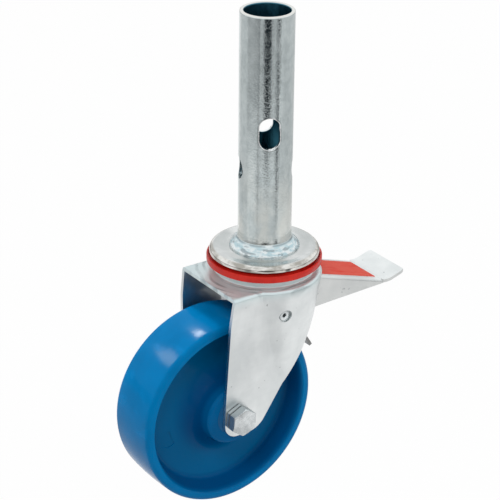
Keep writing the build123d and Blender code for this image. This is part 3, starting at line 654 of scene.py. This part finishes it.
workedNodes = {
    # CAD node: (body, new name, slot, width of the softened edges)
    "spigot": ("stem", "spigotTube", "zinc_tube", 0.35),
    "head_plate": ("stem", "headPlate", "zinc_head", 0.0),
    "fork": ("fork", "forkPressing", "zinc_sheet", 0.45),
    "dust_seal": ("fork", "sealRing", "seal_red", 0.0),
    "pivot_pin": ("fork", "pivotRivet", "zinc_fastener", 0.0),
    "hex_spacer": ("fork", "hexLayer", "zinc_fastener", 0.5),
    "axle_bolt": ("fork", "axleBolt", "zinc_fastener", 0.5),
    "axle_nut": ("fork", "axleNut", "zinc_fastener", 0.25),
    "axle_washer": ("fork", "axleWasher", "zinc_fastener", 0.25),
    "wheel": ("wheel", "wheelMoulding", "wheel_blue", 0.3),
    "hub_bushes": ("wheel", "hubBushes", "bush_plastic", 0.2),
    "brake_pedal": ("pedal", "brakePedal", "zinc_sheet", 0.35),
    "pedal_strip": ("pedal", "pedalStrip", "strip_red", 0.0),
    "brake_shoe": ("pedal", "brakeShoe", "spring_steel", 0.3),
    "shoe_rivets": ("pedal", "shoeRivets", "zinc_fastener", 0.25),
    "lock_tongue": ("pedal", "lockTongue", "zinc_sheet", 0.2),
    "pivot_spacers": ("fork", "pivotSpacers", "zinc_fastener", 0.2),
    "axle_sleeve": ("fork", "axleSleeve", "zinc_fastener", 0.2),
    "lower_race": ("stem", "lowerRace", "bearing_steel", 0.2),
    "lock_ring": ("stem", "lockRing", "bearing_steel", 0.2),
    "king_bolt": ("stem", "kingBolt", "zinc_fastener", 0.2),
    "king_nut": ("stem", "kingNut", "zinc_fastener", 0.3),
    "upper_balls": ("stem", "upperBalls", "bearing_steel", 0.0),
    "lower_balls": ("stem", "lowerBalls", "bearing_steel", 0.0),
}
for nodeName, (body, newName, slotName, edgeWidth) in workedNodes.items():
    piece = mergedCopy(nodeName, newName)
    if edgeWidth:
        softenEdges(piece, edgeWidth, edgeSettings)
    hand(piece, body, ownFinishes.get(nodeName, finishes[slotName]), slotName, nodeName)
    print("worked", newName, len(piece.data.polygons))


# weld bead

weldSizes = {
    # radius and height, from inside the tube's wall out along the head and up onto the tube
    "outline": [(18.8, -12.45), (26.35, -12.45), (26.45, -11.7), (26.0, -10.8), (25.2, -9.8),
                (24.3, -8.9), (23.4, -8.1), (22.5, -7.3), (21.7, -6.5), (21.0, -5.7), (20.5, -4.9),
                (20.2, -4.0), (20.1, -2.0), (20.04, -0.05), (18.8, -0.05)],
    "steps": 288, "smoothBelow": 60,
    # points inside plainRadius or above plainDepth stay put, and from fullDepth down the rest move fully
    "plainRadius": 19.5, "plainDepth": 5.5, "fullDepth": 9.5,
    "ripples": 62, "rippleDepth": 0.30, "rippleMiddle": 0.6,
    # how far in radians a ripple leans from top to foot, and how its spacing wavers round the bead
    "lean": 1.6, "leanDepth": 12.5, "waver": 0.7, "wavers": 5,
    # slow lumps round the bead: how many, where they start in radians, their share of the depth
    "lumps": [(9, 1.3, 0.6), (4, 0.4, 0.4)], "lumpDepth": 0.28,
}


def makeWeld(sizes):
    # ripples of the welding run, strongest low on the bead, and slow lumps round it
    outline = [(mm(reach), mm(height)) for reach, height in sizes["outline"]]
    bead = turnedPiece("weldBead", outline, sizes["steps"])
    plainDepth, fullDepth = mm(sizes["plainDepth"]), mm(sizes["fullDepth"])
    for point in bead.data.vertices:
        radius = math.hypot(point.co.x, point.co.y)
        if radius < mm(sizes["plainRadius"]):
            continue
        around = math.atan2(point.co.y, point.co.x)
        low = min(1.0, max(0.0, (-point.co.z - plainDepth) / (fullDepth - plainDepth)))
        lean = sizes["lean"] * point.co.z / mm(sizes["leanDepth"])
        waver = sizes["waver"] * math.sin(sizes["wavers"] * around)
        ripple = abs(math.sin(sizes["ripples"] * around / 2 + lean + waver))
        lump = sum(share * math.sin(count * around + start) for count, start, share in sizes["lumps"])
        move = mm(sizes["rippleDepth"]) * (ripple - sizes["rippleMiddle"]) + mm(sizes["lumpDepth"]) * lump
        point.co.x *= (radius + move * low) / radius
        point.co.y *= (radius + move * low) / radius
    smoothFaces(bead, sizes["smoothBelow"])
    hand(bead, "stem", finishes["weld_metal"], "weld_metal", "weld_bead")
    print("weld bead laid")


makeWeld(weldSizes)


# upright lip of the seal, which closes the gap under the head plate

lipSizes = {"inner": 35.6, "outer": 36.4, "clearance": 0.25, "steps": 192}


def makeSealLip(sizes):
    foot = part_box("dust_seal")[1][2]
    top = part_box("head_plate")[0][2] - mm(sizes["clearance"])
    inner, outer = mm(sizes["inner"]), mm(sizes["outer"])
    outline = [(inner, foot), (inner, top), (outer, top), (outer, foot)]
    lip = turnedPiece("sealLip", outline, sizes["steps"])
    smoothFaces(lip)
    hand(lip, "fork", finishes["seal_red"], "seal_red")
    print("seal lip made")


makeSealLip(lipSizes)


# floor, lights and camera (places and sizes in metres)

# Darker fans in what the object's glossy faces see of the floor. Each leaves the object in one direction, is
# full within one angle from it and gone at another, sets in between two distances and has a grey level. The
# one that starts farther out than it ends lies near the object instead
floorFans = [
    {"direction": -122.0, "full": 12.0, "gone": 18.0, "starts": 0.70, "ends": 0.80, "level": 0.02},
    {"direction": -122.0, "full": 3.0, "gone": 12.0, "starts": 0.60, "ends": 0.70, "level": 0.12},
    {"direction": -122.0, "full": 42.0, "gone": 60.0, "starts": 0.64, "ends": 0.84, "level": 0.62},
    {"direction": -122.0, "full": 34.0, "gone": 48.0, "starts": 0.60, "ends": 0.50, "level": 0.82},
    {"direction": -77.0, "full": 3.0, "gone": 7.0, "starts": 0.40, "ends": 0.50, "level": 0.10},
    {"direction": -157.0, "full": 2.5, "gone": 8.0, "starts": 0.40, "ends": 0.50, "level": 0.48},
    {"direction": -188.0, "full": 14.0, "gone": 28.0, "starts": 0.50, "ends": 0.80, "level": 0.52},
    {"direction": -235.0, "full": 24.0, "gone": 36.0, "starts": 0.36, "ends": 0.46, "level": 0.74},
    {"direction": -12.0, "full": 44.0, "gone": 53.0, "starts": 0.40, "ends": 0.50, "level": 0.72},
]
studio = {
    "floorSize": 14.0, "floorDrop": 0.0003, "floorShare": 0.985, "matt": 0.80,
    "white": (1, 1, 1, 1), "fanTint": (0.0, 0.005, 0.01, 1),
    "roomFill": 0.39, "roomTint": (0.96, 0.985, 1.0, 1),
    "horizonReach": 3.2, "horizonFoot": -0.20, "horizonTop": 0.20, "horizonSteps": 96,
    "horizonLevel": 0.26,
    "aim": (0, 0, -0.05),
}
# nothing mirrors the two lamps in front, and the two at the back only give the wheel its highlights
lamps = [
    {"name": "keyLamp", "place": (-1.3, -1.2, 1.9), "size": 0.8, "power": 18.0, "wheelOnly": False},
    {"name": "fillLamp", "place": (1.5, -1.5, 1.2), "size": 1.0, "power": 10.0, "wheelOnly": False},
    {"name": "backLamp", "place": (0.10, 1.32, 1.55), "size": 0.26, "power": 15.0, "wheelOnly": True},
    {"name": "sideLamp", "place": (-1.05, 1.50, 1.22), "size": 0.40, "power": 9.0, "wheelOnly": True},
]


def softLamp(settings, aim):
    name, place = settings["name"], Vector(settings["place"])
    lamp = bpy.data.objects.new(name, bpy.data.lights.new(name, "AREA"))
    lamp.data.shape = "RECTANGLE"
    lamp.data.size = settings["size"]
    lamp.data.size_y = settings["size"]
    lamp.data.energy = settings["power"]
    lamp.location = place
    lamp.rotation_euler = (Vector(aim) - place).to_track_quat("-Z", "Y").to_euler()
    bpy.context.scene.collection.objects.link(lamp)
    return lamp


def floorPaint(sizes, fans):
    # white to the camera with a trace of shadow, the fans to glossy faces, and matt to all other light
    paint = bpy.data.materials.new("palePaint")
    nodes = Nodes(paint)
    nodes.tree.nodes.clear()
    x, y = nodes.axes()[:2]
    reach = distance(x, y)
    tone = 1.0
    for fan in fans:
        turn = math.radians(fan["direction"])
        along = (x * math.cos(turn) + y * math.sin(turn)) / reach
        gone, full = (math.cos(math.radians(fan[end])) for end in ("gone", "full"))
        inFan = nodes.step(along, gone, full) * nodes.step(reach, fan["starts"], fan["ends"])
        tone = tone * (1 - inFan * (1 - fan["level"]))
    mirrored = nodes.blend(tone, sizes["fanTint"], sizes["white"])
    seen = nodes.blend(nodes.seenBy("Is Camera Ray"), mirrored, sizes["white"])
    glow = nodes.node("ShaderNodeEmission", None, {"Color": seen})
    matt = nodes.node("ShaderNodeBsdfDiffuse", None, {"Color": grey(sizes["matt"])})
    direct = nodes.seenBy("Is Camera Ray", "Is Glossy Ray", "Is Transmission Ray")
    mixed = nodes.node("ShaderNodeMixShader", None, {0: direct * sizes["floorShare"], 1: matt, 2: glow})
    nodes.node("ShaderNodeOutputMaterial", None, {"Surface": mixed})
    return paint


def horizonPaint(sizes):
    paint = bpy.data.materials.new("horizonPaint")
    nodes = Nodes(paint)
    nodes.tree.nodes.clear()
    glow = nodes.node("ShaderNodeEmission", None, {"Color": grey(sizes["horizonLevel"])})
    nodes.node("ShaderNodeOutputMaterial", None, {"Surface": glow})
    return paint


def makeFloor(sizes, fans):
    deselectAll()
    bpy.ops.mesh.primitive_plane_add(size=sizes["floorSize"],
                                     location=(0, 0, cadBox[0][2] - sizes["floorDrop"]))
    floor = bpy.context.object
    floor.name = "paleFloor"
    placeInMesh(floor)
    floor.data.materials.append(floorPaint(sizes, fans))


def makeHorizon(sizes):
    # dark horizon that only glossy faces see
    foot, top = sizes["horizonFoot"], sizes["horizonTop"]
    deselectAll()
    bpy.ops.mesh.primitive_cylinder_add(vertices=sizes["horizonSteps"], radius=sizes["horizonReach"],
                                        depth=top - foot, end_fill_type="NOTHING",
                                        location=(0, 0, (foot + top) / 2))
    horizon = bpy.context.object
    horizon.name = "horizon"
    placeInMesh(horizon)
    horizon.data.materials.append(horizonPaint(sizes))
    horizon.visible_camera = False
    horizon.visible_diffuse = False
    horizon.visible_transmission = False
    horizon.visible_shadow = False


def makeRoom(sizes):
    # white to the camera, slightly cool to all else, and dimmer where it only lights the object
    world = bpy.data.worlds.new("paleRoom")
    bpy.context.scene.world = world
    room = Nodes(world)
    room.tree.nodes.clear()
    tint = room.blend(room.seenBy("Is Camera Ray"), sizes["roomTint"], sizes["white"])
    direct = room.seenBy("Is Camera Ray", "Is Glossy Ray", "Is Transmission Ray")
    strength = sizes["roomFill"] + direct * (1 - sizes["roomFill"])
    light = room.node("ShaderNodeBackground", None, {"Color": tint, "Strength": strength})
    room.node("ShaderNodeOutputWorld", None, {"Surface": light})


def hangLamps(everyLamp, aim):
    glossyWheel = bpy.data.collections.new("glossyWheel")
    glossyWheel.objects.link(bpy.data.objects["wheelMoulding"])
    for settings in everyLamp:
        lamp = softLamp(settings, aim)
        if settings["wheelOnly"]:
            lamp.light_linking.receiver_collection = glossyWheel
        else:
            lamp.visible_glossy = False


view = {
    # degrees, metres, and the lens in millimetres
    "turn": 35.56, "tilt": 24.75, "roll": 0.79, "place": (-0.7012, -0.9808, 0.5539),
    "lens": 128.18, "sensorWidth": 36, "shiftX": -0.0289, "shiftY": -0.038, "near": 0.05, "far": 60,
}


def makeCamera(settings):
    turn, tilt, roll = (math.radians(settings[name]) for name in ("turn", "tilt", "roll"))
    side = Vector((math.cos(turn), -math.sin(turn), 0))
    up = Vector((math.sin(turn) * math.sin(tilt), math.cos(turn) * math.sin(tilt), math.cos(tilt)))
    rolledSide = side * math.cos(roll) + up * math.sin(roll)
    rolledUp = up * math.cos(roll) - side * math.sin(roll)
    facing = Matrix((rolledSide, rolledUp, rolledSide.cross(rolledUp))).transposed().to_4x4()
    camera = bpy.data.objects.new("camera", bpy.data.cameras.new("camera"))
    camera.matrix_world = Matrix.Translation(settings["place"]) @ facing
    camera.data.lens = settings["lens"]
    camera.data.sensor_width = settings["sensorWidth"]
    camera.data.shift_x = settings["shiftX"]
    camera.data.shift_y = settings["shiftY"]
    camera.data.clip_start = settings["near"]
    camera.data.clip_end = settings["far"]
    bpy.context.scene.collection.objects.link(camera)
    bpy.context.scene.camera = camera


makeFloor(studio, floorFans)
makeHorizon(studio)
makeRoom(studio)
hangLamps(lamps, studio["aim"])
print("studio set")
makeCamera(view)
print("camera placed")
bpy.context.scene.view_settings.view_transform = "Standard"
